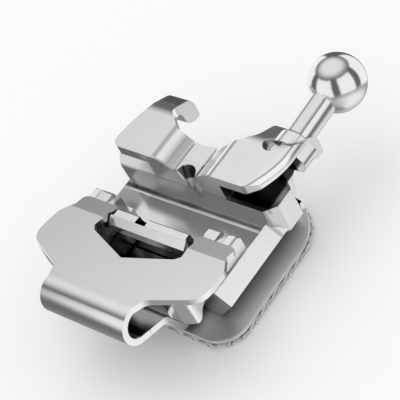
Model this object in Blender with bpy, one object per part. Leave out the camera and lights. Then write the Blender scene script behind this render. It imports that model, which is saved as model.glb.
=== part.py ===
"""Self-ligating orthodontic bracket with its spring clip open.

Every length is in millimetres, and the empty named millimetres turns them into
metres. They are measured from the top edge of the far slot wall: +X runs along the
slot, +Y towards the ball hook and +Z away from the tooth.
"""

import bmesh
import bpy
from math import asin, atan2, cos, pi, radians, sin, tan
from mathutils import Matrix, Vector

# Gauze and pad, from the ground up
wire_radius = 0.024
wire_lift = 0.022
wire_pitch = 0.30
wires_across = 11
wires_along = 10
wire_overhang = 0.02
pad_half = 1.60
pad_near = 1.70
pad_far = 1.20
near_corner = 0.55
far_corner = 0.80
pad_sheet = 0.07
pad_bow = 0.08
seat_play = 0.004
ledge_height = 1.12

# Body below the wings
slot_height = 0.50
floor_drop = 0.56
sill_drop = 0.29
floor_half = 1.38
foot_fillet = 0.07
relief_half = 0.93
relief_depth = 0.26
relief_wall = 0.11
flank_half = 1.606
flank_drop = 0.506
flank_slope = 0.95
body_near = 1.35
wall_half = 1.45
ledge_half = 1.62
ledge_depth = 0.62
far_chamfer = 0.12

# Far wings
wing_rise = 0.525
wing_sheet = 0.18
wing_shift = 0.05
wing_half = 1.45
wing_flare = 0.14
wing_tuck = 0.27
flare_end = 0.80
wing_taper = 0.17
taper_end = 0.90
wing_roll_left = 0.06
wing_roll_right = 0.14
neck_half = 0.72
neck_depth = 0.56
neck_play = 0.005
saddle_rise = 0.36
saddle_shift = 0.09
saddle_half = 0.215
saddle_slope = 0.30
saddle_curve = 0.35
saddle_score = 0.045
wing_bend = 0.86
wing_bend_radius = 0.45
tip_reach = 1.33
tip_rise = 0.30
tip_radius = 0.20
tip_half = 0.87
tip_drop = 0.07
groove_radius = 0.19
groove_depth = 0.17
groove_run = 0.48

# Near wings
near_wing_inner = 0.91
near_wing_outer = 1.46
near_wing_shift = -0.095
near_wing_reach = 1.94
near_wing_rise = 0.17
post_inner_left = 1.06
post_inner_right = 0.80
post_back = 0.66
post_proud = 0.005
post_edge = 0.06
post_ramp = 0.16
post_ramp_drop = 0.08
post_hollow = 0.17
post_hollow_drop = 0.03

# Bar between the near wings
bar_left = 0.81
bar_right = 0.73
bar_inset = 0.045
bar_rise = 0.155
bar_step = 0.025
bar_crease = 0.93
bar_reach = 1.03
bar_drop = 0.23
notch_left = -0.325
notch_right = -0.12

# Ball hook and its boss
ball_radius = 0.458
stem_radius = 0.215
hook_root = Vector((1.37, 1.00, 0.249))
hook_ball = Vector((1.39, 2.29, 0.32))
bore_play = 0.01
boss_half = 1.76
boss_near = 0.84
boss_far = 1.15
boss_top = 0.50

# Spring clip
strip = 0.105
arm_slope = radians(7.86)
prong_slope = radians(15.5)
bend_back = 1.06
bend_rise = 0.205
bend_radius = 0.10
prong_length = 0.29
prong_inner = 0.82
prong_neck = 0.865
prong_outer = 1.535
prong_corner = 0.09
clip_travel = 0.88
clip_shift = 0.03
lobe_half = 1.71
lobe_far = 1.00
lobe_shoulder = 1.22
lobe_turn = 1.80
lobe_tail = 2.12
lobe_near = 2.33
loop_half = 0.85
crest_back = 2.335
crest_radius = 0.16
nose_back = 2.69
nose_rise = 0.125
nose_radius = 0.10
chin_back = 2.60
chin_drop = 0.155
chin_radius = 0.25
ramp_top = 0.36
ramp_back = 1.98
ramp_front = 1.80
tongue_drop = 0.74
tongue_play = 0.04
tongue_end = 0.45
window_half = 0.89
window_apex = 1.603

arc_steps = 6

near_wall = -slot_height
relief_far = near_wall - relief_depth
relief_near = relief_far - relief_wall
gauze_thickness = 2 * wire_radius + wire_lift
pad_centre = (pad_far - pad_near) / 2
pad_length = (pad_far + pad_near) / 2
pad_top = pad_bow + gauze_thickness + seat_play + pad_sheet - ledge_height
channel_roof = tongue_play - tongue_drop
channel_half = loop_half + tongue_play


def clear_scene():
    for obj in list(bpy.data.objects):
        bpy.data.objects.remove(obj, do_unlink=True)


def material(name, colour, roughness, metallic):
    made = bpy.data.materials.new(name)
    made.use_nodes = True
    shader = made.node_tree.nodes["Principled BSDF"]
    shader.inputs["Base Color"].default_value = (*colour, 1.0)
    shader.inputs["Roughness"].default_value = roughness
    shader.inputs["Metallic"].default_value = metallic
    return made


def rounded(corners, steps=arc_steps):
    """Corners are (u, v) or (u, v, radius), and each radius becomes a tangent arc."""
    points = []
    for i, corner in enumerate(corners):
        here = Vector(corner[:2])
        if len(corner) < 3:
            points.append(here)
            continue
        radius = corner[2]
        before = (Vector(corners[i - 1][:2]) - here).normalized()
        after = (Vector(corners[(i + 1) % len(corners)][:2]) - here).normalized()
        half = before.angle(after) / 2
        centre = here + (before + after).normalized() * radius / sin(half)
        start = here + before * radius / tan(half) - centre
        end = here + after * radius / tan(half) - centre
        first = atan2(start.y, start.x)
        turn = (atan2(end.y, end.x) - first + pi) % (2 * pi) - pi
        for k in range(steps + 1):
            angle = first + turn * k / steps
            points.append(centre + radius * Vector((cos(angle), sin(angle))))
    return points


def mirrored(half, about=0.0):
    """The right half of an outline, near end first, with its mirror image added."""
    right = [Vector(p) for p in half]
    left = [Vector((2 * about - p.x, p.y)) for p in reversed(right)]
    return right + left


def ribbon(path, thickness):
    """The closed outline of a strip that follows a line."""
    sides = ([], [])
    for i, point in enumerate(path):
        before = (point - path[i - 1]).normalized() if i else None
        after = (path[i + 1] - point).normalized() if i + 1 < len(path) else None
        along = ((before or after) + (after or before)).normalized()
        reach = thickness / 2 / along.dot(after or before)
        across = Vector((-along.y, along.x)) * reach
        sides[0].append(point + across)
        sides[1].append(point - across)
    return sides[0] + sides[1][::-1]


def link(name, bm, home, shown):
    bmesh.ops.recalc_face_normals(bm, faces=bm.faces)
    data = bpy.data.meshes.new(name)
    bm.to_mesh(data)
    bm.free()
    obj = bpy.data.objects.new(name, data)
    bpy.context.scene.collection.objects.link(obj)
    obj.parent = home
    if not shown:
        obj.hide_render = True
        obj.display_type = "WIRE"
    return obj


def prism(name, outline, axis, low, high, home, shown=False):
    """An outline pushed along an axis: X takes (y, z), Y takes (x, z), Z takes (x, y)."""
    place = {
        "X": lambda u, v, w: (w, u, v),
        "Y": lambda u, v, w: (u, w, v),
        "Z": lambda u, v, w: (u, v, w),
    }[axis]
    bm = bmesh.new()
    base = bm.faces.new([bm.verts.new(place(p[0], p[1], low)) for p in outline])
    pushed = bmesh.ops.extrude_face_region(bm, geom=[base], use_keep_orig=True)
    moved = [v for v in pushed["geom"] if isinstance(v, bmesh.types.BMVert)]
    bmesh.ops.translate(bm, verts=moved, vec=place(0.0, 0.0, high - low))
    return link(name, bm, home, shown)


def lofted(name, sections, home, shown=False):
    """Closed outlines with as many points each, joined in turn and capped."""
    bm = bmesh.new()
    rings = [[bm.verts.new(spot) for spot in section] for section in sections]
    for first, second in zip(rings[:-1], rings[1:]):
        for k, vert in enumerate(first):
            n = (k + 1) % len(first)
            bm.faces.new((vert, first[n], second[n], second[k]))
    bm.faces.new(rings[0])
    bm.faces.new(rings[-1])
    return link(name, bm, home, shown)


def turned(name, profile, start, end, home, segments=28, shown=False):
    """(distance, radius) pairs turned round the line from start to end."""
    bm = bmesh.new()
    verts = [bm.verts.new((radius, 0.0, along)) for along, radius in profile]
    edges = [bm.edges.new(pair) for pair in zip(verts[:-1], verts[1:])]
    bmesh.ops.spin(
        bm,
        geom=verts + edges,
        cent=(0, 0, 0),
        axis=(0, 0, 1),
        angle=2 * pi,
        steps=segments,
    )
    bmesh.ops.remove_doubles(bm, verts=bm.verts, dist=0.0001)
    turn = (end - start).to_track_quat("Z", "Y").to_matrix().to_4x4()
    bmesh.ops.transform(bm, matrix=Matrix.Translation(start) @ turn, verts=bm.verts)
    return link(name, bm, home, shown)


def bow(x, y):
    """How far the curved base stands off the ground at a point of its plan."""
    return pad_bow * (1 - reach_share(x, y) / widest_share)


def reach_share(x, y):
    return (x / pad_half) ** 2 + ((y - pad_centre) / pad_length) ** 2


def curved_slab(name, outline, low, high, home, curved_low=True, shown=False, rings=6):
    """A slab with the curve of the base, as rings of its outline round the middle."""
    middle = Vector((0.0, pad_centre))
    bm = bmesh.new()
    levels = []
    for height, curved in ((low, curved_low), (high, True)):
        loops = []
        for k in range(1, rings + 1):
            loop = []
            for p in outline:
                q = middle + (p - middle) * k / rings
                lift = bow(q.x, q.y) if curved else 0.0
                loop.append(bm.verts.new((q.x, q.y, height + lift)))
            loops.append(loop)
        top = bm.verts.new((*middle, height + (bow(*middle) if curved else 0.0)))
        count = len(outline)
        for i in range(count):
            j = (i + 1) % count
            bm.faces.new((top, loops[0][i], loops[0][j]))
            for inner, outer in zip(loops[:-1], loops[1:]):
                bm.faces.new((inner[i], outer[i], outer[j], inner[j]))
        levels.append(loops[-1])
    for i in range(count):
        j = (i + 1) % count
        bm.faces.new((levels[0][i], levels[1][i], levels[1][j], levels[0][j]))
    return link(name, bm, home, shown)


def combine(target, operation, tools):
    for tool in tools:
        step = target.modifiers.new(tool.name, "BOOLEAN")
        step.operation = operation
        step.object = tool
        step.solver = "EXACT"


def finish(obj, made):
    obj.data.materials.clear()
    obj.data.materials.append(made)


def pad_outline(growth=0.0):
    half = pad_half + growth
    near = -pad_near - growth
    far = pad_far + growth
    corners = [
        (half, near, near_corner),
        (half, far, far_corner),
        (-half, far, far_corner),
        (-half, near, near_corner),
    ]
    return spaced(rounded(corners, 6), 0.3)


def spaced(outline, gap):
    """The outline with its long sides divided."""
    points = []
    for i, p in enumerate(outline):
        q = outline[(i + 1) % len(outline)]
        parts = max(1, round((q - p).length / gap))
        points += [p.lerp(q, k / parts) for k in range(parts)]
    return points


def chord(outline, across, at):
    """Where a line crosses the outline: across 0 takes x = at, 1 takes y = at."""
    hits = []
    for i, p in enumerate(outline):
        q = outline[i - 1]
        if (p[across] - at) * (q[across] - at) < 0:
            share = (at - p[across]) / (q[across] - p[across])
            hits.append(p[1 - across] + share * (q[1 - across] - p[1 - across]))
    return min(hits), max(hits)


def gauze_layer(name, lines, crossings, across, home):
    """One direction of the weave: each wire goes over and under its crossings in turn."""
    outline = pad_outline(wire_overhang)
    bm = bmesh.new()
    for i, at in enumerate(lines):
        low, high = chord(outline, across, at)
        stations = [(low, None)]
        for j, cross in enumerate(crossings):
            if low + wire_radius < cross < high - wire_radius:
                stations.append((cross, j))
        stations.append((high, None))
        rings = []
        for along, j in stations:
            side = 0.5 if j is None else (i + j + across) % 2
            x, y = (at, along) if across == 0 else (along, at)
            height = bow(x, y) + wire_radius + wire_lift * side - ledge_height
            ring = []
            for k in range(6):
                angle = pi * k / 3
                aside = wire_radius / cos(pi / 6) * cos(angle)
                up = height + wire_radius / cos(pi / 6) * sin(angle)
                spot = (x + aside, y, up) if across == 0 else (x, y + aside, up)
                ring.append(bm.verts.new(spot))
            rings.append(ring)
        for first, second in zip(rings[:-1], rings[1:]):
            for k in range(6):
                n = (k + 1) % 6
                bm.faces.new((first[k], first[n], second[n], second[k]))
        bm.faces.new(rings[0])
        bm.faces.new(rings[-1])
    return link(name, bm, home, True)


def make_mesh_and_pad(home):
    xs = [(i - (wires_across - 1) / 2) * wire_pitch for i in range(wires_across)]
    ys = [
        pad_centre + (i - (wires_along - 1) / 2) * wire_pitch
        for i in range(wires_along)
    ]
    mesh = gauze_layer("bonding_mesh", xs, ys, 0, home)
    weft = gauze_layer("mesh_weft", ys, xs, 1, home)
    weft.hide_render = True
    weft.display_type = "WIRE"
    combine(mesh, "UNION", [weft])
    finish(mesh, material("gauze_steel", (0.52, 0.51, 0.50), 0.42, 1.0))

    under = gauze_thickness + seat_play - ledge_height
    pad = curved_slab(
        "bonding_pad", pad_outline(), under, under + pad_sheet, home, shown=True
    )
    finish(pad, material("pad_steel", (0.62, 0.61, 0.60), 0.34, 1.0))


def make_body(home):
    wing_under = wing_rise - wing_sheet
    foot_half = flank_half - flank_slope * (ledge_height - flank_drop)
    bevel_half = flank_half - (flank_drop - sill_drop)
    body = prism(
        "body",
        [
            (-foot_half, -ledge_height),
            (foot_half, -ledge_height),
            (flank_half, -flank_drop),
            (bevel_half, -sill_drop),
            (-bevel_half, -sill_drop),
            (-flank_half, -flank_drop),
        ],
        "Y",
        -body_near,
        ledge_depth,
        home,
        shown=True,
    )
    plan = prism(
        "base_outline",
        mirrored(
            [
                (flank_half + 0.1, -body_near - 0.1),
                (flank_half + 0.1, ledge_depth - far_chamfer - 0.1),
                (flank_half - far_chamfer, ledge_depth + 0.1),
            ]
        ),
        "Z",
        -ledge_height - 0.1,
        0.1,
        home,
    )
    block = prism(
        "far_block",
        mirrored(
            [
                (wall_half, 0.0),
                (ledge_half, ledge_half - wall_half),
                (ledge_half, ledge_depth - far_chamfer),
                (ledge_half - far_chamfer, ledge_depth),
            ]
        ),
        "Z",
        -flank_drop - 0.05,
        0.0,
        home,
    )
    combine(body, "INTERSECT", [plan])
    combine(body, "UNION", [block])

    slot = prism(
        "slot_cutter",
        rounded(
            [
                (0.0, -sill_drop + 0.15),
                (0.0, -floor_drop, foot_fillet),
                (near_wall, -floor_drop),
                (near_wall, -sill_drop + 0.15),
            ]
        ),
        "X",
        -floor_half,
        floor_half,
        home,
    )
    relief = prism(
        "relief_cutter",
        [
            (near_wall + 0.1, -floor_drop),
            (relief_far, -floor_drop),
            (relief_far, 0.3),
            (near_wall + 0.1, 0.3),
        ],
        "X",
        -relief_half,
        relief_half,
        home,
    )
    channel = prism(
        "channel_cutter",
        [
            (-body_near - 0.2, -ledge_height - 0.1),
            (clip_travel - tongue_end + 2 * tongue_play, -ledge_height - 0.1),
            (clip_travel - tongue_end + 2 * tongue_play, channel_roof),
            (relief_near, channel_roof),
            (relief_near, -sill_drop + 0.04),
            (-body_near - 0.2, -sill_drop + 0.04),
        ],
        "X",
        clip_shift - channel_half,
        clip_shift + channel_half,
        home,
    )
    combine(body, "DIFFERENCE", [slot, relief, channel])
    combine(body, "UNION", near_wings(home))
    combine(body, "UNION", [centre_bar(home), bar_wall(home)])
    combine(body, "UNION", [far_wings(home, wing_under)])
    combine(body, "DIFFERENCE", body_cutters(home))
    finish(body, material("body_steel", (0.66, 0.65, 0.64), 0.24, 1.0))


def near_wings(home):
    profile = rounded(
        [
            (near_wall + post_proud, -floor_drop - 0.04),
            (near_wall + post_proud, 0.0, post_edge),
            (-0.80, 0.0),
            (-1.06, 0.06),
            (-near_wing_reach + 0.09, near_wing_rise, 0.03),
            (-near_wing_reach, near_wing_rise - 0.07, 0.03),
            (-near_wing_reach, -0.30, 0.04),
            (-near_wing_reach + 0.05, -0.36, 0.03),
            (-near_wing_reach + 0.19, -0.36, 0.04),
            (-near_wing_reach + 0.29, -0.25, 0.05),
            (-body_near + 0.02, -0.20, 0.05),
            (-body_near + 0.02, -floor_drop - 0.04),
        ],
        4,
    )
    made = []
    for side, word, post in (
        (1, "right", post_inner_right),
        (-1, "left", post_inner_left),
    ):
        outer = near_wing_outer + side * near_wing_shift
        inner = near_wing_inner + side * clip_shift
        corners = [
            (post + 0.03, near_wall + post_edge),
            (outer, near_wall + post_edge),
            (outer, -0.95),
            (outer - 0.07, -1.16, 0.2),
            (outer - 0.05, -1.37),
            (outer + 0.05, -1.70),
            (outer + 0.06, -1.83, 0.06),
            (outer - 0.14, -near_wing_reach, 0.1),
            (inner, -near_wing_reach, 0.06),
            (inner, -post_back - 0.14),
            (post, -post_back, 0.04),
        ]
        outline = [Vector((side * p.x, p.y)) for p in rounded(corners, 4)]
        wing = prism(f"near_wing_{word}", outline, "Z", -0.7, 0.4, home)
        low, high = sorted((side * (inner - 0.3), side * (outer + 0.3)))
        side_view = prism(f"near_wing_side_{word}", profile, "X", low, high, home)
        combine(wing, "INTERSECT", [side_view])
        combine(wing, "DIFFERENCE", post_cutters(side, word, post, outer, home))
        made.append(wing)
    return made


def post_cutters(side, word, post, outer, home):
    """A slope down to the slot and a hollow along the outer lip of one post."""
    start = post + 0.235 if side > 0 else post - 0.03
    low, high = sorted((side * start, side * (start + post_ramp)))
    slope = prism(
        f"post_slope_{word}",
        [
            (-post_back - 0.10, 0.0),
            (near_wall + 0.05, -post_ramp_drop),
            (near_wall + 0.05, 0.1),
            (-post_back - 0.10, 0.1),
        ],
        "X",
        low,
        high,
        home,
    )
    hollow_corners = [
        (outer - post_hollow, 0.1),
        (outer - post_hollow, 0.0),
        (outer - post_hollow / 2, -post_hollow_drop, post_hollow),
        (outer - 0.01, 0.0),
        (outer - 0.01, 0.1),
    ]
    hollow = prism(
        f"post_hollow_{word}",
        [Vector((side * p.x, p.y)) for p in rounded(hollow_corners)],
        "Y",
        -post_back - 0.12,
        near_wall + 0.05,
        home,
    )
    return [slope, hollow]


def centre_bar(home):
    profile = rounded(
        [
            (relief_far + post_proud, -floor_drop - 0.02),
            (relief_far + post_proud, -0.10),
            (relief_far - 0.03, 0.04),
            (relief_far - 0.03, bar_rise - bar_step, 0.03),
            (-bar_crease, bar_rise - bar_step),
            (-bar_crease - 0.005, bar_rise, 0.008),
            (-bar_reach + 0.03, 0.06, 0.05),
            (-bar_reach, -0.05, 0.03),
            (relief_near - 0.06, -bar_drop, 0.05),
            (relief_near + 2 * post_proud, -bar_drop),
            (relief_near + 2 * post_proud, -floor_drop - 0.02),
        ],
        4,
    )
    bar = prism("centre_bar", profile, "X", -bar_left, bar_right, home)
    step = -bar_crease - 0.01
    plan = prism(
        "bar_plan",
        [
            (-bar_left - 0.1, -bar_reach - 0.1),
            (bar_right + 0.1, -bar_reach - 0.1),
            (bar_right + 0.1, step),
            (bar_right, step),
            (bar_right - bar_inset, step + bar_inset),
            (bar_right - bar_inset, relief_far + 0.1),
            (bar_inset - bar_left, relief_far + 0.1),
            (bar_inset - bar_left, step + bar_inset),
            (-bar_left, step),
            (-bar_left - 0.1, step),
        ],
        "Z",
        -floor_drop - 0.1,
        bar_rise + 0.1,
        home,
    )
    notch = prism(
        "bar_notch",
        [
            (notch_left, -bar_crease),
            (notch_right, -bar_crease),
            (notch_right, relief_far + 0.1),
            (notch_left, relief_far + 0.1),
        ],
        "Z",
        -0.06,
        bar_rise + 0.1,
        home,
    )
    combine(bar, "INTERSECT", [plan])
    combine(bar, "DIFFERENCE", [notch])
    return bar


def bar_wall(home):
    return prism(
        "bar_wall",
        [
            (relief_far - post_proud, channel_roof + 0.05),
            (relief_far - post_proud, -bar_drop - 0.02),
            (relief_near + post_proud, -bar_drop - 0.02),
            (relief_near + post_proud, channel_roof + 0.05),
        ],
        "X",
        clip_shift - near_wing_inner - 0.03,
        clip_shift + near_wing_inner + 0.03,
        home,
    )


def wing_left(y):
    share = min(max(y, 0.0) / taper_end, 1.0)
    return wing_shift - wing_half + wing_taper * share**2


def wing_right(y):
    share = min(max(y, 0.0) / flare_end, 1.0)
    return wing_shift + wing_half + wing_flare - wing_tuck * (1 - share) ** 2


def wing_roll(home):
    """The wings seen along Y, with edges that roll over and taper or flare on the way."""
    stations = [-0.2] + [taper_end * k / 9 for k in range(10)] + [tip_reach + 0.3]
    sections = []
    for y in stations:
        outline = rounded(
            [
                (wing_right(y), -0.5),
                (wing_right(y), wing_rise + 0.001, wing_roll_right),
                (wing_left(y), wing_rise + 0.001, wing_roll_left),
                (wing_left(y), -0.5),
            ]
        )
        sections.append([(p.x, y, p.y) for p in outline])
    return lofted("wing_roll", sections, home)


def wing_plan(home):
    """The slot side's cut corners and the bay between the two tips."""
    right = [
        (wing_shift, 0.0),
        (wing_shift + wing_half - 0.21, 0.0, 0.08),
        (wing_shift + wing_half + 0.10, 0.27),
        (wing_shift + wing_half + 0.45, 0.27),
        (wing_shift + wing_half + 0.45, tip_reach + 0.05),
        (wing_shift + tip_half, tip_reach + 0.05),
        (wing_shift + tip_half - 0.01, 0.92, 0.2),
        (wing_shift + 0.50, 0.62, 0.2),
        (wing_shift, neck_depth),
    ]
    left = [
        (wing_shift, neck_depth),
        (wing_shift - 0.50, 0.62, 0.2),
        (wing_shift - tip_half + 0.01, 0.92, 0.2),
        (wing_shift - tip_half, tip_reach + 0.05),
        (wing_shift - wing_half - 0.35, tip_reach + 0.05),
        (wing_shift - wing_half - 0.35, 0.19),
        (wing_shift - wing_half - 0.06, 0.19),
        (wing_shift - wing_half + 0.15, 0.0, 0.10),
        (wing_shift, 0.0),
    ]
    outline = rounded(right)[1:] + rounded(left)[1:]
    return prism("wing_outline", outline, "Z", -0.4, 0.8, home)


def far_wings(home, wing_under):
    """Three outlines meet in the wings: seen from the end, from above and along the slot."""
    curl = rounded(
        [
            (0.0, wing_rise),
            (wing_bend, wing_rise, wing_bend_radius),
            (tip_reach, tip_rise, tip_radius),
            (tip_reach, -tip_drop, 0.05),
            (tip_reach - 0.13, -tip_drop, 0.04),
            (1.05, 0.02, 0.10),
            (1.03, wing_under - 0.06, 0.10),
            (0.86, wing_under, 0.12),
            (0.0, wing_under),
        ],
        8,
    )
    wings = prism("far_wings", curl, "X", -wing_half - 0.3, wing_half + 0.4, home)
    neck_left = saddle_shift - 0.05 - neck_half
    neck_right = saddle_shift - 0.05 + neck_half
    neck = prism(
        "neck",
        [
            (neck_left, neck_play),
            (neck_right, neck_play),
            (neck_right, neck_depth),
            (neck_left, neck_depth),
        ],
        "Z",
        -0.05,
        wing_under + 0.02,
        home,
    )
    combine(wings, "INTERSECT", [wing_plan(home), wing_roll(home)])
    combine(wings, "UNION", [neck, hook_boss(home), hook_web(home)])
    return wings


def hook_boss(home):
    return prism(
        "hook_boss",
        rounded(
            [
                (1.05, boss_top - 0.20),
                (1.16, -0.06, 0.06),
                (boss_half - 0.14, -0.02, 0.12),
                (boss_half, 0.18, 0.12),
                (boss_half - 0.22, boss_top - 0.03, 0.10),
                (1.30, boss_top, 0.08),
            ],
        ),
        "Y",
        boss_near,
        boss_far,
        home,
    )


def hook_web(home):
    return prism(
        "hook_web",
        rounded(
            [
                (0.45, -0.30),
                (0.52, -0.02, 0.05),
                (0.66, 0.10, 0.08),
                (0.86, 0.22),
                (0.98, 0.02),
                (0.78, -0.12, 0.12),
                (0.70, -0.45),
                (0.45, -0.45),
            ],
            4,
        ),
        "X",
        boss_half - 0.58,
        boss_half - 0.18,
        home,
    )


def body_cutters(home):
    top = saddle_half + saddle_slope
    half = [
        (saddle_half - 0.02, saddle_rise),
        (saddle_half, saddle_rise - saddle_score),
        (saddle_half + 0.025, saddle_rise + 0.005),
        (saddle_half + 0.12, saddle_rise + 0.04, saddle_curve),
        (top, wing_rise, saddle_curve),
        (top + 0.15, wing_rise + 0.001),
        (top + 0.15, wing_rise + 0.2),
        (0.0, wing_rise + 0.2),
    ]
    right = [Vector((saddle_shift + p.x, p.y)) for p in rounded(half)[:-1]]
    saddle = prism(
        "saddle_cutter", mirrored(right, saddle_shift), "Y", -0.2, 0.8, home
    )
    lean = groove_depth / groove_run
    foot = Vector((saddle_shift + 0.11, -groove_radius, saddle_rise - groove_run))
    head = Vector((saddle_shift + 0.01, groove_depth - groove_radius, saddle_rise))
    along = head - foot
    groove = turned(
        "groove_cutter",
        [(0.0, 0.0), (0.0, groove_radius), (1.0, groove_radius), (1.0, 0.0)],
        foot - along * 0.2,
        foot - along * 0.2 + along.normalized(),
        home,
    )
    dimple_profile = [(0.0, 0.0), (0.0, 0.12), (0.05, 0.15), (0.5, 0.15), (0.5, 0.0)]
    dimple = turned(
        "dimple_cutter",
        dimple_profile,
        Vector((1.26, 0.84, wing_rise - 0.11)),
        Vector((1.22, 0.86, wing_rise + 1.0)),
        home,
        segments=20,
    )
    start, along = hook_line()
    bore = turned(
        "hook_bore",
        [
            (0.0, 0.0),
            (0.0, stem_radius + bore_play),
            (1.5, stem_radius + bore_play),
            (1.5, 0.0),
        ],
        start - along * bore_play,
        hook_ball,
        home,
    )
    seat = curved_slab(
        "seat_cutter",
        pad_outline(0.3),
        -ledge_height - 0.6,
        gauze_thickness + pad_sheet + 2 * seat_play - ledge_height,
        home,
        curved_low=False,
    )
    return [saddle, groove, dimple, bore, seat]


def hook_line():
    along = (hook_ball - hook_root).normalized()
    return hook_root, along


def make_hook(home):
    start, along = hook_line()
    length = (hook_ball - start).length
    first = pi - asin(stem_radius / ball_radius)
    steps = 14
    profile = [(0.0, 0.0), (0.0, stem_radius - 0.02), (0.02, stem_radius)]
    for k in range(steps + 1):
        angle = first * (1 - k / steps)
        radius = ball_radius * sin(angle)
        profile.append((length + ball_radius * cos(angle), radius))
    hook = turned("ball_hook", profile, start, hook_ball, home, shown=True)
    finish(hook, material("hook_steel", (0.70, 0.69, 0.68), 0.10, 1.0))


def make_clip(home):
    drop = strip / 2
    bend = Vector((-bend_back, bend_rise - drop))
    tip = bend + prong_length * Vector((1.0, -tan(prong_slope)))
    crest = bend + Vector((-1.0, tan(arm_slope))) * (crest_back - bend_back)
    tongue = -tongue_drop - drop
    corners = [
        tip,
        (*bend, bend_radius),
        (*crest, crest_radius),
        (-nose_back, nose_rise, nose_radius),
        (-chin_back, -chin_drop, chin_radius),
        (-ramp_back, -ramp_top, bend_radius),
        (-ramp_front, tongue, bend_radius),
        Vector((-tongue_end, tongue)),
    ]
    path = rounded(corners, 8)
    widths = arm_widths(tip.x)
    stations = []
    arm = True
    for p, q in zip(path, path[1:] + [path[-1]]):
        stations.append((p, half_width(p.x, widths) if arm else loop_half))
        arm = arm and q.x > widths[-1][0]
        if arm:
            for y, half in widths:
                if q.x + 0.004 < y < p.x - 0.004:
                    spot = p.lerp(q, (y - p.x) / (q.x - p.x))
                    stations.append((spot, half))
    clip = strip_sheet("spring_clip", stations, home)
    end = tip.x + 0.02
    window = [
        (0.0, -window_apex),
        (window_half - 0.077, -1.317, 0.03),
        (window_half, -1.234, 0.03),
        (window_half - 0.03, -bend_back, 0.05),
        (prong_neck, -bend_back + 0.12),
        (prong_inner, -bend_back + 0.18, 0.02),
        (prong_inner, end, prong_corner),
        (prong_inner + 0.3, end),
        (prong_inner + 0.3, -0.5),
        (0.0, -0.5),
    ]
    right = [Vector((clip_shift + p.x, p.y)) for p in rounded(window, 5)[:-1]]
    outline = right + [Vector((2 * clip_shift - p.x, p.y)) for p in right[:0:-1]]
    combine(clip, "DIFFERENCE", [prism("clip_window", outline, "Z", -0.1, 0.5, home)])
    finish(clip, material("clip_steel", (0.68, 0.67, 0.66), 0.16, 1.0))


def arm_widths(tip):
    """Half the arm's width from the prongs' tips back to the loop, as (y, half)."""
    outline = rounded(
        [
            (tip, loop_half),
            (tip, prong_outer, prong_corner),
            (-lobe_far, prong_outer, 0.15),
            (-lobe_shoulder, lobe_half - 0.02, 0.2),
            (-(lobe_shoulder + lobe_turn) / 2, lobe_half),
            (-lobe_turn, lobe_half - 0.01, 0.3),
            (-lobe_tail, loop_half + 0.08, 0.2),
            (-lobe_near, loop_half),
        ]
    )
    return [(p.x, p.y) for p in outline[1:]]


def half_width(y, widths):
    for (first, wide), (second, narrow) in zip(widths[:-1], widths[1:]):
        if second <= y <= first:
            return wide + (narrow - wide) * (first - y) / (first - second)
    return widths[0][1] if y > widths[0][0] else widths[-1][1]


def strip_sheet(name, stations, home):
    """A folded strip: one cross-section at each station of its bend line."""
    outline = ribbon([p for p, half in stations], strip)
    sections = []
    for i, (p, half) in enumerate(stations):
        upper = outline[i]
        lower = outline[-1 - i]
        left = clip_shift - half
        right = clip_shift + half
        corners = ((left, upper), (right, upper), (right, lower), (left, lower))
        sections.append([(x, q.x, q.y) for x, q in corners])
    return lofted(name, sections, home, shown=True)


def main():
    clear_scene()
    home = bpy.data.objects.new("millimetres", None)
    bpy.context.scene.collection.objects.link(home)
    home.location.z = ledge_height / 1000
    home.scale = (0.001, 0.001, 0.001)
    make_mesh_and_pad(home)
    make_body(home)
    make_hook(home)
    make_clip(home)


widest_share = max(reach_share(p.x, p.y) for p in pad_outline(wire_overhang))
main()
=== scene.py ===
"""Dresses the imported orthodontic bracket: polished metal, woven gauze and a studio."""

from math import asin, cos, pi, radians, sin, sqrt, tan

import bmesh
import bpy
from bpy.props import FloatProperty, FloatVectorProperty, IntProperty, PointerProperty
from mathutils import Matrix, Vector


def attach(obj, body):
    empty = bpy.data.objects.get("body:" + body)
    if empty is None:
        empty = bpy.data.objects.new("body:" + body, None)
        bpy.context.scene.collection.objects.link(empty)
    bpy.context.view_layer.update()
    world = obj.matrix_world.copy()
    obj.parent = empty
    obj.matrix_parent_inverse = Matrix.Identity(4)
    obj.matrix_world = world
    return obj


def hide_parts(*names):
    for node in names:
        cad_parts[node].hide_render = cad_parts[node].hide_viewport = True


bl_info = {
    "name": "Orthodontic bracket",
    "version": (1, 0, 0),
    "blender": (4, 5, 0),
    "location": "View3D > Sidebar > Bracket",
    "description": "Builds the polished pieces of a self-ligating bracket and its studio",
    "category": "Add Mesh",
}

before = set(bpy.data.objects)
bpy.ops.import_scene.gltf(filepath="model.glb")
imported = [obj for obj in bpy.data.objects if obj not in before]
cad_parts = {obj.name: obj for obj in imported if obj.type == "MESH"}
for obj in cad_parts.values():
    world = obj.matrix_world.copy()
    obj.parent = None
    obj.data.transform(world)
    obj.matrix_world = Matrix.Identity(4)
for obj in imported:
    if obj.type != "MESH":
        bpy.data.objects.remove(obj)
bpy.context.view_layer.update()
MM = 0.001
TO_METRES = Matrix.Scale(MM, 4)

# Places, in millimetres. SLOT_EDGE is the height of the far slot wall's top edge,
# and the boxes are measured from it.
SLOT_EDGE = 1.12
EDGE_ANGLE = 32.0
EDGE_STEPS = 2

# The stem's root and the middle of the ball
HOOK_ROOT = Vector((1.37, 1.00, 0.249 + SLOT_EDGE))
HOOK_BALL = Vector((1.39, 2.29, 0.32 + SLOT_EDGE))
STEM_CHAMFER = 0.02
ROUND_STEPS = 96
BALL_STEPS = 40

# The boss that closes round the stem: distance from the root, and radius
COLLAR = (
    (-0.06, 0.0),
    (-0.06, 0.268),
    (0.06, 0.262),
    (0.155, 0.252),
    (0.17, 0.24),
    (0.17, 0.0),
)
COLLAR_STEPS = 64

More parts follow.
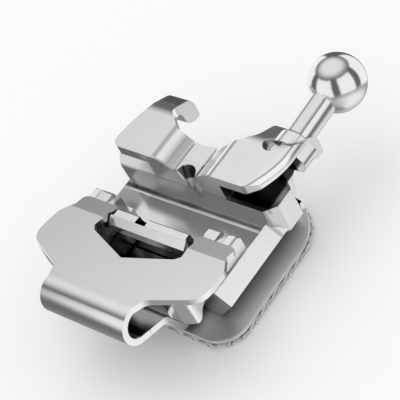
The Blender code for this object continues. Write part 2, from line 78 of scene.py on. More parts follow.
# What the scene moves on the moulding: low corner, high corner and way
WEB = ((1.578, 0.44, -SLOT_EDGE), (1.582, 1.0, 0.3), (-0.17, 0.0, 0.0))
BAR_FRONT = ((-0.83, -1.04, -0.2), (0.75, -0.96, 0.12), (0.0, -0.055, 0.0))

# The clip's sheet, the middle of its width, and its loop seen from the side as (y, z)
STRIP = 0.105
CLIP_SHIFT = 0.03
LOOP_CUT = -2.275
LOOP_START = Vector((-2.28, 0.3209))
LOOP_BACK = -2.632
LOOP_END = Vector((-2.28, -0.2608))
LOOP_RADIUS = 0.27
LOOP_STEPS = 12
ARM_SLOPE = 0.138
RAMP_SLOPE = 0.331
ARM_HALF = 0.87
LOOP_HALF = 0.85

# The pad's outline, its bow and its height over the ground
PAD_HALF = 1.68
PAD_NEAR = -1.79
PAD_FAR = 0.95
PAD_MIDDLE = (PAD_FAR + PAD_NEAR) / 2
PAD_REACH = (PAD_FAR - PAD_NEAR) / 2
NEAR_CORNER = 0.50
FAR_CORNER = 0.90
CORNER_STEPS = 14
RIM_STEPS = 3
PAD_CUTS = 16
PAD_BOW = 0.08
PAD_UNDER = 0.074

# The gauze past the pad's rim, and the corners and lengths that a wire is drawn with
OVERHANG = 0.01
WIRE_SIDES = 8
STEPS_A_PITCH = 4

# Boxes where the painted shade in corners is left out: low corner, high corner and softness
SLOT_BOX = ((-1.5, -0.58, -0.6), (1.5, 0.04, 0.1), 0.05)
BAR_BOX = ((-0.82, -1.12, -0.04), (0.76, -0.93, 0.25), 0.02)
END_BOX = ((1.0, -1.5, -0.8), (1.75, -1.2, -0.2), 0.03)
BODY_KEPT = (SLOT_BOX, BAR_BOX, END_BOX)

# Boxes of painted shade in hollows, under the wings and on faces turned from the light, with
# the share of light that they lose
LEDGE_BOX = ((0.78, 0.06, -0.1), (1.52, 0.9, 0.33), 0.03, 0.97)
CHANNEL_BOX = ((-0.9, -1.9, -1.1), (0.92, -0.9, -0.16), 0.06, 0.97)
NOTCH_BOX = ((-0.335, -0.935, -0.1), (-0.11, -0.7, 0.124), 0.004, 0.97)
FAR_WALL_BOX = ((-1.6, -0.03, -0.6), (1.6, 0.03, 0.515), 0.012, 0.4)
LEFT_CURL_BOX = ((-1.6, 1.08, -0.2), (-0.84, 1.6, 0.6), 0.03, 0.4)
SADDLE_LIP_BOX = ((-0.52, 0.02, 0.5), (-0.44, 0.7, 0.6), 0.03, 0.5)
SADDLE_FOOT_BOX = ((-0.3, 0.02, 0.3), (-0.15, 0.7, 0.46), 0.04, 0.45)
GROOVE_BOX = ((-0.1, 0.03, 0.15), (0.3, 0.25, 0.352), 0.012, 0.9)
BODY_DARK = (
    LEDGE_BOX,
    CHANNEL_BOX,
    NOTCH_BOX,
    FAR_WALL_BOX,
    LEFT_CURL_BOX,
    SADDLE_LIP_BOX,
    SADDLE_FOOT_BOX,
    GROOVE_BOX,
)
# Painted shade inside the clip's loop and under its tongue
TONGUE_BOX = ((-0.5, -1.9, -1.0), (0.86, -0.3, -0.55), 0.3, 0.97)
LOOP_BOX = ((-0.8, -2.6, -0.2), (0.845, -1.95, 0.26), 0.02, 0.95)
CLIP_DARK = (TONGUE_BOX, LOOP_BOX)
# Painted shade on the stem where the collar closes round it
ROOT_BOX = ((1.0, 1.16, -0.2), (1.8, 1.185, 0.8), 0.008, 0.6)
HOOK_DARK = (ROOT_BOX,)

# Openness, as the ambient occlusion node gives it, where the painted shade of a hollow starts
# and is full
HOLLOW_STARTS = 0.62
HOLLOW_FULL = 0.12

# The studio's dome. Angles are in degrees, as (where a light starts, where it is full).
STUDIO_UP = Vector((-0.19, 0.30, 0.94))
WINDOW_TURN = -98
WINDOW_SIDE = (33, 29.5)
WINDOW_TOP = (38.5, 32.5)
WINDOW_FOOT = (-30, -23)
OVERHEAD = (35, 64)
TABLE = (-16, -50)
TABLE_TURN = 30
TABLE_EVEN = 0.575
GLOOM = 0.13
OVERHEAD_LIGHT = 0.76
TABLE_LIGHT = 0.9
WINDOW_LIGHT = 0.92

# The world as white surfaces see it, the lamp, and the camera in millimetres
WORLD_LIGHT = 0.93
LAMP_LIGHT = 0.5
LAMP_ANGLE = 50
LAMP_TILT = (-18, -20)
SENSOR = 36.0
FOCAL_SHARE = 1637.4 / 400
CAMERA_RIGHT = Vector((0.7372, 0.5623, -0.3746))
CAMERA_UP = Vector((-0.2495, 0.7419, 0.6224))
CAMERA_PLACE = Vector((15.57, -9.01, 16.68 + SLOT_EDGE))


def length(name, description, default):
    return FloatProperty(name=name, description=description, default=default, min=0.0)


def colour(name, description, default):
    return FloatVectorProperty(
        name=name,
        description=description,
        default=default,
        size=3,
        subtype="COLOR",
        min=0.0,
        max=1.0,
    )


class BracketSizes(bpy.types.PropertyGroup):
    """Sizes of the finish, in millimetres."""

    body_round: length("Body edge", "Rounding of the moulding's edges", 0.014)
    clip_round: length("Clip edge", "Rounding of the spring strip's edges", 0.012)
    pad_sheet: length("Pad sheet", "Thickness of the pad", 0.07)
    pad_round: length("Pad edge", "Rounding of the pad's rim", 0.025)
    ball_radius: length("Ball", "Radius of the ball hook's ball", 0.458)
    stem_radius: length("Stem", "Radius of the ball hook's stem", 0.215)
    wire_radius: length("Wire", "Radius of the gauze's wires", 0.024)
    wire_lift: length("Weave", "Height between wires that cross", 0.022)
    wire_pitch: length("Pitch", "Distance between neighbouring wires", 0.15)
    wires_across: IntProperty(name="Wires across", default=23, min=2)
    wires_along: IntProperty(name="Wires along", default=19, min=2)


class BracketColours(bpy.types.PropertyGroup):
    """Colours of the metals and the studio."""

    body: colour("Body", "Moulded steel", (0.86, 0.855, 0.85))
    clip: colour("Clip", "Spring steel", (0.87, 0.865, 0.86))
    hook: colour("Hook", "Turned steel", (0.80, 0.80, 0.80))
    pad: colour("Pad", "Sheet steel", (0.66, 0.655, 0.65))
    gauze: colour("Gauze", "Woven steel wire", (0.64, 0.635, 0.63))
    floor: colour("Floor", "Pale table top", (0.90, 0.90, 0.90))


def sizes():
    return bpy.context.scene.bracket_sizes


def colours():
    return bpy.context.scene.bracket_colours


# Shader groups


class Graph:
    """A node tree with short ways to add and join nodes."""

    def __init__(self, tree):
        self.tree = tree
        self.nodes = tree.nodes

    def add(self, kind, inputs=None, **settings):
        node = self.nodes.new("ShaderNode" + kind)
        for name, value in settings.items():
            setattr(node, name, value)
        for name, value in (inputs or {}).items():
            self.feed(node.inputs[name], value)
        return node

    def feed(self, socket, value):
        if isinstance(value, bpy.types.NodeSocket):
            self.tree.links.new(value, socket)
        elif isinstance(value, bpy.types.Node):
            self.tree.links.new(value.outputs[0], socket)
        else:
            socket.default_value = value

    def maths(self, operation, *values, clamp=False):
        node = self.nodes.new("ShaderNodeMath")
        node.operation = operation
        node.use_clamp = clamp
        for socket, value in zip(node.inputs, values):
            self.feed(socket, value)
        return node.outputs[0]

    def ramp(self, value, low, high, to_low=0.0, to_high=1.0):
        node = self.add(
            "MapRange",
            {
                "Value": value,
                "From Min": low,
                "From Max": high,
                "To Min": to_low,
                "To Max": to_high,
            },
            interpolation_type="SMOOTHSTEP",
        )
        return node.outputs[0]


def polish_group():
    """Tumbled metal: cloudy roughness, fine pits and a little tone."""
    tree = bpy.data.node_groups.new("Tumbled metal", "ShaderNodeTree")
    face = tree.interface
    for label, value in (
        ("Roughness", 0.15),
        ("Cloud", 0.04),
        ("Grain", 0.03),
        ("Relief", 0.1),
    ):
        socket = face.new_socket(label, in_out="INPUT", socket_type="NodeSocketFloat")
        socket.default_value = value
    face.new_socket("Tone", in_out="INPUT", socket_type="NodeSocketColor")
    face.new_socket("Colour", in_out="OUTPUT", socket_type="NodeSocketColor")
    face.new_socket("Roughness", in_out="OUTPUT", socket_type="NodeSocketFloat")
    face.new_socket("Height", in_out="OUTPUT", socket_type="NodeSocketFloat")
    g = Graph(tree)
    given = tree.nodes.new("NodeGroupInput")
    out = tree.nodes.new("NodeGroupOutput")
    place = g.add("TexCoord").outputs["Object"]
    cloud = g.add("TexNoise", {"Vector": place, "Scale": 2200.0, "Detail": 3.0})
    fine = g.add("TexNoise", {"Vector": place, "Scale": 42000.0, "Detail": 2.0})
    cloudy = g.maths("MULTIPLY", g.maths("SUBTRACT", cloud, 0.5), given.outputs["Cloud"])
    grainy = g.maths("MULTIPLY", g.maths("SUBTRACT", fine, 0.5), given.outputs["Grain"])
    rough = g.maths("ADD", given.outputs["Roughness"], cloudy)
    rough = g.maths("ADD", rough, grainy)
    shade = g.maths("ADD", 1.0, g.maths("MULTIPLY", cloudy, -0.6))
    tone = g.add(
        "VectorMath",
        {0: given.outputs["Tone"], "Scale": shade},
        operation="SCALE",
    )
    g.feed(out.inputs["Colour"], tone.outputs[0])
    g.feed(out.inputs["Roughness"], g.maths("MAXIMUM", rough, 0.03))
    height = g.maths("MULTIPLY", fine, given.outputs["Relief"])
    g.feed(out.inputs["Height"], height)
    return tree


def box_group():
    """A mask that is 1 inside a box with soft sides, in metres."""
    tree = bpy.data.node_groups.new("Soft box", "ShaderNodeTree")
    face = tree.interface
    face.new_socket("Centre", in_out="INPUT", socket_type="NodeSocketVector")
    face.new_socket("Half", in_out="INPUT", socket_type="NodeSocketVector")
    face.new_socket("Soft", in_out="INPUT", socket_type="NodeSocketFloat")
    face.new_socket("Mask", in_out="OUTPUT", socket_type="NodeSocketFloat")
    g = Graph(tree)
    given = tree.nodes.new("NodeGroupInput")
    out = tree.nodes.new("NodeGroupOutput")
    place = g.add("TexCoord").outputs["Object"]
    away = g.add(
        "VectorMath", {0: place, 1: given.outputs["Centre"]}, operation="SUBTRACT"
    )
    away = g.add("VectorMath", {0: away}, operation="ABSOLUTE")
    past = g.add("VectorMath", {0: away, 1: given.outputs["Half"]}, operation="SUBTRACT")
    parts = g.add("SeparateXYZ", {0: past})
    soft = given.outputs["Soft"]
    inner = g.maths("MULTIPLY", soft, -1.0)
    mask = 1.0
    for side in parts.outputs:
        mask = g.maths("MULTIPLY", mask, g.ramp(side, soft, inner))
    g.feed(out.inputs["Mask"], mask)
    return tree


def box_mask(g, box):
    """The mask of a box given as its low corner, high corner and softness."""
    low, high, soft = box
    node = g.nodes.new("ShaderNodeGroup")
    node.node_tree = bpy.data.node_groups.get("Soft box") or box_group()
    low = Vector(low) + Vector((0.0, 0.0, SLOT_EDGE))
    high = Vector(high) + Vector((0.0, 0.0, SLOT_EDGE))
    node.inputs["Centre"].default_value = (low + high) / 2 * MM
    node.inputs["Half"].default_value = (high - low) / 2 * MM
    node.inputs["Soft"].default_value = soft * MM
    return node.outputs["Mask"]


def recess_shade(g, reach, depth, kept, dark):
    """How much light the base colour keeps under painted shade: open faces 1, hollows less,
    and the dark boxes less again.
    """
    open_ = g.add("AmbientOcclusion", {"Distance": reach * MM}, samples=8).outputs["AO"]
    hollow = g.ramp(open_, HOLLOW_STARTS, HOLLOW_FULL)
    for box in kept:
        hollow = g.maths("MULTIPLY", hollow, g.maths("SUBTRACT", 1.0, box_mask(g, box)))
    shade = g.maths("SUBTRACT", 1.0, g.maths("MULTIPLY", hollow, depth))
    for *box, strength in dark:
        mask = g.maths("MULTIPLY", box_mask(g, box), strength)
        shade = g.maths("MULTIPLY", shade, g.maths("SUBTRACT", 1.0, mask))
    return shade


def steel(
    name,
    tone,
    roughness,
    cloud=0.05,
    grain=0.04,
    relief=0.2,
    reach=0.5,
    depth=0.9,
    kept=(),
    dark=(),
):
    made = bpy.data.materials.new(name)
    made.use_nodes = True
    g = Graph(made.node_tree)
    shader = g.nodes["Principled BSDF"]
    shader.inputs["Metallic"].default_value = 1.0
    group = g.nodes.new("ShaderNodeGroup")
    group.node_tree = bpy.data.node_groups.get("Tumbled metal") or polish_group()
    values = {"Roughness": roughness, "Cloud": cloud, "Grain": grain, "Relief": relief}
    for label, value in values.items():
        group.inputs[label].default_value = value
    group.inputs["Tone"].default_value = (*tone, 1.0)
    # Painted shade: the base colour is darkened in hollows and inside the dark boxes.
    shade = recess_shade(g, reach, depth, kept, dark)
    shade_painted_tone = g.add(
        "VectorMath", {0: group.outputs["Colour"], "Scale": shade}, operation="SCALE"
    )
    g.feed(shader.inputs["Base Color"], shade_painted_tone.outputs[0])
    g.feed(shader.inputs["Roughness"], group.outputs["Roughness"])
    bump = g.add(
        "Bump", {"Height": group.outputs["Height"], "Distance": 2e-6, "Strength": 0.4}
    )
    g.feed(shader.inputs["Normal"], bump)
    return made


# Meshes


def to_object(name, bm, material, sharp=30.0):
    """Finishes a mesh in millimetres as an object in metres, smooth up to an angle."""
    data = bpy.data.meshes.new(name)
    bm.to_mesh(data)
    bm.free()
    data.transform(TO_METRES)
    data.materials.append(material)
    obj = bpy.data.objects.new(name, data)
    bpy.context.scene.collection.objects.link(obj)
    data.shade_smooth()
    data.set_sharp_from_angle(angle=radians(sharp))
    return obj


def cad_copy(node):
    """The CAD node in millimetres, merged, with its flat faces whole again."""
    bm = bmesh.new()
    bm.from_mesh(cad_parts[node].data)
    bmesh.ops.transform(bm, matrix=Matrix.Scale(1 / MM, 4), verts=bm.verts)
    bmesh.ops.remove_doubles(bm, verts=bm.verts, dist=0.0004)
    bmesh.ops.dissolve_limit(
        bm,
        angle_limit=radians(0.6),
        verts=bm.verts,
        edges=bm.edges,
        delimit=set(),
    )
    return bm


def rounded_edges(name, bm, material, width):
    """Rounds the sharp edges in millimetres, where the tools keep their precision."""
    data = bpy.data.meshes.new(name + "_raw")
    bm.to_mesh(data)
    bm.free()
    raw = bpy.data.objects.new(name + "_raw", data)
    bpy.context.scene.collection.objects.link(raw)
    data.shade_smooth()
    bevel = raw.modifiers.new("Edges", "BEVEL")
    bevel.width = width
    bevel.segments = EDGE_STEPS
    bevel.limit_method = "ANGLE"
    bevel.angle_limit = radians(EDGE_ANGLE)
    bevel.harden_normals = False
    even = raw.modifiers.new("Normals", "WEIGHTED_NORMAL")
    even.weight = 90
    even.keep_sharp = True
    view = bpy.context.evaluated_depsgraph_get()
    mesh = bpy.data.meshes.new_from_object(
        raw.evaluated_get(view), preserve_all_data_layers=True, depsgraph=view
    )
    mesh.transform(TO_METRES)
    mesh.materials.clear()
    mesh.materials.append(material)
    mesh.name = name
    bpy.data.objects.remove(raw, do_unlink=True)
    obj = bpy.data.objects.new(name, mesh)
    bpy.context.scene.collection.objects.link(obj)
    return obj


def spin_round(bm, profile, root, way, steps):
    """Turns (distance, radius) pairs round a line from its root."""
    verts = [bm.verts.new((radius, 0.0, along)) for along, radius in profile]
    edges = [bm.edges.new(pair) for pair in zip(verts[:-1], verts[1:])]
    bmesh.ops.spin(
        bm,
        geom=verts + edges,
        axis=(0, 0, 1),
        cent=(0, 0, 0),
        steps=steps,
        angle=2 * pi,
        use_merge=True,
    )
    faces = {f for v in verts for f in v.link_faces}
    grown = set(faces)
    while faces:
        faces = {f for face in faces for e in face.edges for f in e.link_faces} - grown
        grown |= faces
    points = list({v for f in grown for v in f.verts})
    turn = way.to_track_quat("Z", "Y").to_matrix().to_4x4()
    bmesh.ops.transform(bm, matrix=Matrix.Translation(root) @ turn, verts=points)
    bmesh.ops.remove_doubles(bm, verts=points, dist=1e-5)
    grown = [f for f in grown if f.is_valid]
    bmesh.ops.recalc_face_normals(bm, faces=grown)


def shift(bm, low, high, way):
    """Moves the vertices inside a box, which is measured from the slot's edge."""
    edge = Vector((0.0, 0.0, SLOT_EDGE))
    found = [
        v
        for v in bm.verts
        if all(a < at < b for a, at, b in zip(low, v.co - edge, high))
    ]
    bmesh.ops.translate(bm, verts=found, vec=way)


class BuildPiece:
    """What the operators share."""

    bl_options = {"REGISTER", "UNDO"}

    def done(self, piece, body, node, slot):
        if piece is None or not piece.data.polygons:
            raise RuntimeError(f"{self.bl_label} made no mesh")
        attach(piece, body)
        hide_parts(node)
        return {"FINISHED"}


class BRACKET_OT_body(BuildPiece, bpy.types.Operator):
    """Builds the moulded body with softly rounded edges"""

    bl_idname = "bracket.body"
    bl_label = "Body"

    def execute(self, context):
        metal = steel(
            "Moulded steel", colours().body, 0.20, kept=BODY_KEPT, dark=BODY_DARK
        )
        bm = cad_copy("body")
        shift(bm, *WEB)
        shift(bm, *BAR_FRONT)
        way = (HOOK_BALL - HOOK_ROOT).normalized()
        spin_round(bm, COLLAR, HOOK_ROOT, way, COLLAR_STEPS)
        piece = rounded_edges("bracket_body", bm, metal, sizes().body_round)
        return self.done(piece, "bracket", "body", "body_steel")


class BRACKET_OT_clip(BuildPiece, bpy.types.Operator):
    """Builds the folded spring clip"""

    bl_idname = "bracket.clip"
    bl_label = "Spring clip"

    def execute(self, context):
        metal = steel("Spring steel", colours().clip, 0.17, dark=CLIP_DARK)
        bm = cad_copy("spring_clip")
        self.round_loop(bm)
        piece = rounded_edges("folded_clip", bm, metal, sizes().clip_round)
        return self.done(piece, "clip", "spring_clip", "clip_steel")

    def round_loop(self, bm):
        """Draws the loop anew as one even curve between the arm and the ramp."""
        bmesh.ops.bisect_plane(
            bm,
            geom=bm.verts[:] + bm.edges[:] + bm.faces[:],
            plane_co=(0.0, LOOP_CUT, 0.0),
            plane_no=(0.0, -1.0, 0.0),
            clear_outer=True,
        )
        rims = [e for e in bm.edges if e.is_boundary]
        arm = [e for e in rims if e.verts[0].co.z > SLOT_EDGE]
        ramp = [e for e in rims if e.verts[0].co.z < SLOT_EDGE]
        ring = bmesh.ops.create_grid(bm, x_segments=1, y_segments=1, size=1.0)["verts"]
        bmesh.ops.delete(bm, geom=list(ring[0].link_faces), context="FACES_ONLY")
        first = list({e for v in ring for e in v.link_edges})
        edges = first
        path = loop_path()
        for k, (spot, across, half) in enumerate(path):
            if k + 1 < len(path):
                drawn = bmesh.ops.extrude_edge_only(bm, edges=edges)["geom"]
                fresh = [e for e in drawn if isinstance(e, bmesh.types.BMVert)]
                made = [e for e in drawn if isinstance(e, bmesh.types.BMEdge)]
                made = [e for e in made if e.verts[0] in fresh and e.verts[1] in fresh]
            for v in ring:
                away = across * (STRIP / 2 if v.co.y > 0 else -STRIP / 2)
                x = CLIP_SHIFT + (half if v.co.x > 0 else -half)
                v.co = Vector((x, spot.x + away.x, spot.y + away.y + SLOT_EDGE))
            if k + 1 < len(path):
                ring, edges = fresh, made
        bmesh.ops.bridge_loops(bm, edges=arm + first)
        bmesh.ops.bridge_loops(bm, edges=ramp + edges)
        bmesh.ops.recalc_face_normals(bm, faces=bm.faces)


def loop_path():
    """Points of the loop's middle line with the way across it and the half width."""
    crest = LOOP_START + (LOOP_BACK - LOOP_START.x) * Vector((1.0, -ARM_SLOPE))
    chin = LOOP_END + (LOOP_BACK - LOOP_END.x) * Vector((1.0, -RAMP_SLOPE))
    line = [LOOP_START]
    for before, corner, after in (
        (LOOP_START, crest, chin),
        (crest, chin, LOOP_END),
    ):
        back = (before - corner).normalized()
        on = (after - corner).normalized()
        turn = back.angle(on)
        centre = corner + (back + on).normalized() * LOOP_RADIUS / sin(turn / 2)
        start = corner + back * LOOP_RADIUS / tan(turn / 2) - centre
        for k in range(LOOP_STEPS + 1):
            turned = Matrix.Rotation((pi - turn) * k / LOOP_STEPS, 2)
            line.append(centre + turned @ start)
    line.append(LOOP_END)
    path = []
    for i, spot in enumerate(line):
        before = line[max(i - 1, 0)]
        after = line[min(i + 1, len(line) - 1)]
        way = (after - before).normalized()
        half = ARM_HALF if i == 0 else LOOP_HALF
        path.append((spot, Vector((way.y, -way.x)), half))
    return path


class BRACKET_OT_hook(BuildPiece, bpy.types.Operator):
    """Turns the ball hook"""

    bl_idname = "bracket.hook"
    bl_label = "Ball hook"

    def execute(self, context):
        metal = steel(
            "Turned steel",
            colours().hook,
            0.16,
            cloud=0.03,
            grain=0.02,
            dark=HOOK_DARK,
        )
        reach = (HOOK_BALL - HOOK_ROOT).length
        radius = sizes().ball_radius
        stem = sizes().stem_radius
        first = pi - asin(stem / radius)
        profile = [(0.0, 0.0), (0.0, stem - STEM_CHAMFER), (STEM_CHAMFER, stem)]
        for k in range(BALL_STEPS + 1):
            angle = first * (1 - k / BALL_STEPS)
            profile.append((reach + radius * cos(angle), radius * sin(angle)))
        bm = bmesh.new()
        spin_round(bm, profile, HOOK_ROOT, HOOK_BALL - HOOK_ROOT, ROUND_STEPS)
        piece = to_object("turned_hook", bm, metal)
        return self.done(piece, "bracket", "ball_hook", "hook_steel")


class BRACKET_OT_pad(BuildPiece, bpy.types.Operator):
    """Builds the curved pad with a rounded rim"""

    bl_idname = "bracket.pad"
    bl_label = "Bonding pad"

    def execute(self, context):
        size = sizes()
        metal = steel("Sheet steel", colours().pad, 0.52, depth=0.12)
        bm = bmesh.new()
        bmesh.ops.create_grid(bm, x_segments=1, y_segments=1, size=1.0)
        scale = Vector((PAD_HALF, PAD_REACH, 1.0))
        bmesh.ops.scale(bm, vec=scale, verts=bm.verts)
        bmesh.ops.translate(bm, vec=(0.0, PAD_MIDDLE, 0.0), verts=bm.verts)
        for near, radius in ((True, NEAR_CORNER), (False, FAR_CORNER)):
            corners = [
                v
                for v in bm.verts
                if abs(v.co.x) > PAD_HALF - 0.001
                and abs(v.co.y - (PAD_NEAR if near else PAD_FAR)) < 0.001
            ]
            bmesh.ops.bevel(
                bm,
                geom=corners,
                offset=radius,
                offset_type="OFFSET",
                affect="VERTICES",
                segments=CORNER_STEPS,
                profile=0.5,
                material=-1,
            )
        drawn = bmesh.ops.extrude_face_region(bm, geom=bm.faces[:], use_keep_orig=True)
        lifted = [e for e in drawn["geom"] if isinstance(e, bmesh.types.BMVert)]
        bmesh.ops.translate(bm, vec=(0.0, 0.0, size.pad_sheet), verts=lifted)
        bmesh.ops.recalc_face_normals(bm, faces=bm.faces)
        flat = [f for f in bm.faces if abs(f.normal.z) > 0.9]
        rim = [e for f in flat for e in f.edges]
        bmesh.ops.bevel(
            bm,
            geom=rim,
            offset=size.pad_round,
            offset_type="OFFSET",
            affect="EDGES",
            segments=RIM_STEPS,
            profile=0.5,
            material=-1,
        )
        for axis, low, high in ((0, -PAD_HALF, PAD_HALF), (1, PAD_NEAR, PAD_FAR)):
            for k in range(1, PAD_CUTS):
                spot = Vector((0.0, 0.0, 0.0))
                way = Vector((0.0, 0.0, 0.0))
                spot[axis] = low + (high - low) * k / PAD_CUTS
                way[axis] = 1.0
                bmesh.ops.bisect_plane(
                    bm,
                    geom=bm.verts[:] + bm.edges[:] + bm.faces[:],
                    plane_co=spot,
                    plane_no=way,
                )
        for v in bm.verts:
            v.co.z += PAD_UNDER + bow(v.co.x, v.co.y)
        piece = to_object("curved_pad", bm, metal, 40.0)
        return self.done(piece, "bracket", "bonding_pad", "pad_steel")


def corner_inset(over, radius):
    """How far a rounded corner draws back a side, past the start of its arc."""
    return radius - sqrt(max(radius**2 - max(over, 0.0) ** 2, 0.0))


def wire_ends(at, along_y):
    """Where the gauze's edge cuts a wire that runs along Y at x = at, or along X."""
    half = PAD_HALF + OVERHANG
    near = PAD_NEAR - OVERHANG
    far = PAD_FAR + OVERHANG
    if along_y:
        low = near + corner_inset(abs(at) - (half - NEAR_CORNER), NEAR_CORNER)
        high = far - corner_inset(abs(at) - (half - FAR_CORNER), FAR_CORNER)
        return low, high
    inset = max(
        corner_inset(near + NEAR_CORNER - at, NEAR_CORNER),
        corner_inset(at - (far - FAR_CORNER), FAR_CORNER),
    )
    return inset - half, half - inset


def bow(x, y):
    """How far the curved base stands off the ground."""
    return PAD_BOW * (1 - reach_share(x, y) / WIDEST_SHARE)


def reach_share(x, y):
    return (x / PAD_HALF) ** 2 + ((y - PAD_MIDDLE) / PAD_REACH) ** 2


def corner_share(y_side, radius, turn):
    """The share at a turn round one of the gauze's corners."""
    x = PAD_HALF + OVERHANG - radius + radius * cos(turn)
    reach = PAD_REACH + OVERHANG - radius + radius * sin(turn)
    return reach_share(x, PAD_MIDDLE + y_side * reach)


WIDEST_SHARE = max(
    corner_share(side, radius, k * pi / 24)
    for side, radius in ((-1, NEAR_CORNER), (1, FAR_CORNER))
    for k in range(13)
)


class BRACKET_OT_gauze(BuildPiece, bpy.types.Operator):
    """Weaves the gauze under the pad"""

    bl_idname = "bracket.gauze"
    bl_label = "Bonding mesh"

    def execute(self, context):
        size = sizes()
        metal = steel("Woven wire", colours().gauze, 0.34, depth=0.3)
        warp = self.lines(size.wires_across, 0.0)
        weft = self.lines(size.wires_along, PAD_MIDDLE)
        bm = bmesh.new()
        for i, at in enumerate(warp):
            self.wire(bm, size, at, i, True)
        for i, at in enumerate(weft):
            self.wire(bm, size, at, i, False)
        piece = to_object("woven_gauze", bm, metal, 50.0)
        return self.done(piece, "bracket", "bonding_mesh", "gauze_steel")

    def lines(self, count, middle):
        pitch = sizes().wire_pitch
        return [middle + (i - (count - 1) / 2) * pitch for i in range(count)]

    def wire(self, bm, size, at, index, along_y):
        """One wire, drawn out of a circle and waved over and under its crossings."""
        low, high = wire_ends(at, along_y)
        middle = PAD_MIDDLE if along_y else 0.0
        count = size.wires_along if along_y else size.wires_across
        first = middle - (count - 1) / 2 * size.wire_pitch
        steps = round((high - low) / size.wire_pitch * STEPS_A_PITCH)
        radius = size.wire_radius
        turn = Matrix.Rotation(pi / 2, 4, "X" if along_y else "Y")
        made = bmesh.ops.create_circle(
            bm, cap_ends=True, segments=WIRE_SIDES, radius=radius, matrix=turn
        )
        ring = made["verts"]
        edges = list({edge for vert in ring for edge in vert.link_edges})
        here = Vector((0.0, 0.0, 0.0))
        for k in range(steps + 1):
            along = low + (high - low) * k / steps
            phase = pi * ((along - first) / size.wire_pitch + index + (0 if along_y else 1))
            x, y = (at, along) if along_y else (along, at)
            wave = size.wire_lift / 2 * (1 + cos(phase))
            spot = Vector((x, y, bow(x, y) + radius + wave))
            if k:
                drawn = bmesh.ops.extrude_edge_only(bm, edges=edges)["geom"]
                ring = [e for e in drawn if isinstance(e, bmesh.types.BMVert)]
                edges = [e for e in drawn if isinstance(e, bmesh.types.BMEdge)]
                edges = [e for e in edges if e.verts[0] in ring and e.verts[1] in ring]
            bmesh.ops.translate(bm, verts=ring, vec=spot - here)
            here = spot
        bmesh.ops.contextual_create(bm, geom=edges)


# Studio


def studio_material():
    """Light as the metal sees it: four windows, a soft light overhead and a pale table."""
    made = bpy.data.materials.new("Studio walls")
    made.use_nodes = True
    g = Graph(made.node_tree)
    g.nodes.remove(g.nodes["Principled BSDF"])
    place = g.add("TexCoord").outputs["Object"]
    way = g.add("VectorMath", {0: place}, operation="NORMALIZE").outputs[0]
    parts = g.add("SeparateXYZ", {0: way})
    x, y, z = parts.outputs
    height = g.maths("ARCSINE", z)
    round_ = g.maths("ARCTAN2", y, x)
    turned = g.maths("SUBTRACT", round_, radians(WINDOW_TURN))
    quarter = g.maths("DIVIDE", turned, pi / 2)
    share = g.maths("FRACT", g.maths("ADD", quarter, 0.5 + 4.0))
    off = g.maths("ABSOLUTE", g.maths("SUBTRACT", share, 0.5))
    aside = g.maths("MULTIPLY", off, pi / 2)
    across = g.ramp(aside, *map(radians, WINDOW_SIDE))
    above = g.ramp(height, *map(radians, WINDOW_TOP))
    below = g.ramp(height, *map(radians, WINDOW_FOOT))
    window = g.maths("MULTIPLY", across, g.maths("MULTIPLY", above, below))
    top = g.ramp(height, *map(radians, OVERHEAD))
    table = g.ramp(height, *map(radians, TABLE))
    facing = g.maths("COSINE", g.maths("SUBTRACT", round_, radians(TABLE_TURN)))
    uneven = g.maths("MULTIPLY", facing, 1 - TABLE_EVEN)
    table = g.maths("MULTIPLY", table, g.maths("ADD", TABLE_EVEN, uneven))
    light = g.maths("ADD", GLOOM, g.maths("MULTIPLY", top, OVERHEAD_LIGHT))
    light = g.maths("ADD", light, g.maths("MULTIPLY", table, TABLE_LIGHT))
    light = g.maths("ADD", light, g.maths("MULTIPLY", window, WINDOW_LIGHT))
    glow = g.add("Emission", {"Strength": light})
    g.feed(g.nodes["Material Output"].inputs["Surface"], glow)
    made.cycles.emission_sampling = "NONE"
    return made


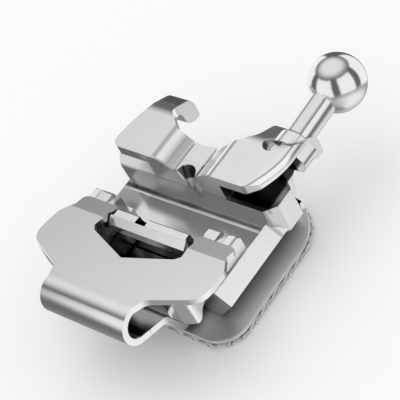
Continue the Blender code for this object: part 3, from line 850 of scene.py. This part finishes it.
class BRACKET_OT_stage(bpy.types.Operator):
    """Sets the floor, the studio, the lamps, the world and the camera"""

    bl_idname = "bracket.stage"
    bl_label = "Stage"
    bl_options = {"REGISTER", "UNDO"}

    def execute(self, context):
        scene = context.scene
        scene.view_settings.view_transform = "Standard"
        self.floor()
        self.studio()
        self.world(scene)
        self.lamp()
        self.camera(scene)
        return {"FINISHED"}

    def floor(self):
        made = bpy.data.materials.new("Table top")
        made.use_nodes = True
        shader = made.node_tree.nodes["Principled BSDF"]
        shader.inputs["Base Color"].default_value = (*colours().floor, 1.0)
        shader.inputs["Roughness"].default_value = 0.9
        shader.inputs["Specular IOR Level"].default_value = 0.0
        bm = bmesh.new()
        bmesh.ops.create_grid(bm, x_segments=1, y_segments=1, size=400.0)
        floor = to_object("floor", bm, made)
        floor.visible_glossy = False

    def studio(self):
        bm = bmesh.new()
        bmesh.ops.create_icosphere(bm, subdivisions=5, radius=150.0)
        bmesh.ops.reverse_faces(bm, faces=bm.faces)
        dome = to_object("studio", bm, studio_material())
        dome.rotation_mode = "QUATERNION"
        dome.rotation_quaternion = Vector((0, 0, 1)).rotation_difference(STUDIO_UP)
        dome.visible_camera = False
        dome.visible_diffuse = False
        dome.visible_shadow = False
        dome.visible_transmission = False
        dome.visible_volume_scatter = False

    def world(self, scene):
        world = bpy.data.worlds.new("Bright room")
        scene.world = world
        world.use_nodes = True
        g = Graph(world.node_tree)
        rays = g.add("LightPath")
        seen = g.maths("MAXIMUM", rays.outputs["Is Camera Ray"], rays.outputs["Is Glossy Ray"])
        seen = g.maths("MAXIMUM", seen, rays.outputs["Is Transmission Ray"])
        back = g.nodes["Background"]
        back.inputs["Color"].default_value = (1.0, 1.0, 1.0, 1.0)
        more = g.maths("MULTIPLY", seen, 1.0 - WORLD_LIGHT)
        strength = g.maths("ADD", WORLD_LIGHT, more)
        g.feed(back.inputs["Strength"], strength)

    def lamp(self):
        light = bpy.data.lights.new("Soft lamp", "SUN")
        light.energy = LAMP_LIGHT
        light.angle = radians(LAMP_ANGLE)
        lamp = bpy.data.objects.new("Soft lamp", light)
        lamp.rotation_euler = (*map(radians, LAMP_TILT), 0)
        lamp.visible_glossy = False
        bpy.context.scene.collection.objects.link(lamp)

    def camera(self, scene):
        data = bpy.data.cameras.new("Camera")
        data.sensor_width = SENSOR
        data.lens = FOCAL_SHARE * SENSOR
        data.clip_start = 0.001
        data.clip_end = 2.0
        camera = bpy.data.objects.new("Camera", data)
        back = CAMERA_RIGHT.cross(CAMERA_UP)
        turn = Matrix((CAMERA_RIGHT, CAMERA_UP, back)).transposed().to_4x4()
        place = Matrix.Translation(CAMERA_PLACE * MM)
        camera.matrix_world = place @ turn
        scene.collection.objects.link(camera)
        scene.camera = camera


class BRACKET_PT_panel(bpy.types.Panel):
    """Lists the bracket's pieces in the sidebar"""

    bl_label = "Bracket"
    bl_space_type = "VIEW_3D"
    bl_region_type = "UI"
    bl_category = "Bracket"

    def draw(self, context):
        column = self.layout.column()
        for group in (context.scene.bracket_sizes, context.scene.bracket_colours):
            for name in group.__annotations__:
                column.prop(group, name)
        for step in STEPS:
            column.operator(step.bl_idname)


STEPS = (
    BRACKET_OT_body,
    BRACKET_OT_clip,
    BRACKET_OT_hook,
    BRACKET_OT_pad,
    BRACKET_OT_gauze,
    BRACKET_OT_stage,
)
CLASSES = (BracketSizes, BracketColours, *STEPS, BRACKET_PT_panel)


def register():
    for item in CLASSES:
        bpy.utils.register_class(item)
    bpy.types.Scene.bracket_sizes = PointerProperty(type=BracketSizes)
    bpy.types.Scene.bracket_colours = PointerProperty(type=BracketColours)


def unregister():
    del bpy.types.Scene.bracket_colours
    del bpy.types.Scene.bracket_sizes
    for item in reversed(CLASSES):
        bpy.utils.unregister_class(item)


def main():
    register()
    bpy.ops.bracket.body()
    bpy.ops.bracket.clip()
    bpy.ops.bracket.hook()
    bpy.ops.bracket.pad()
    bpy.ops.bracket.gauze()
    bpy.ops.bracket.stage()


if __name__ == "__main__":
    main()
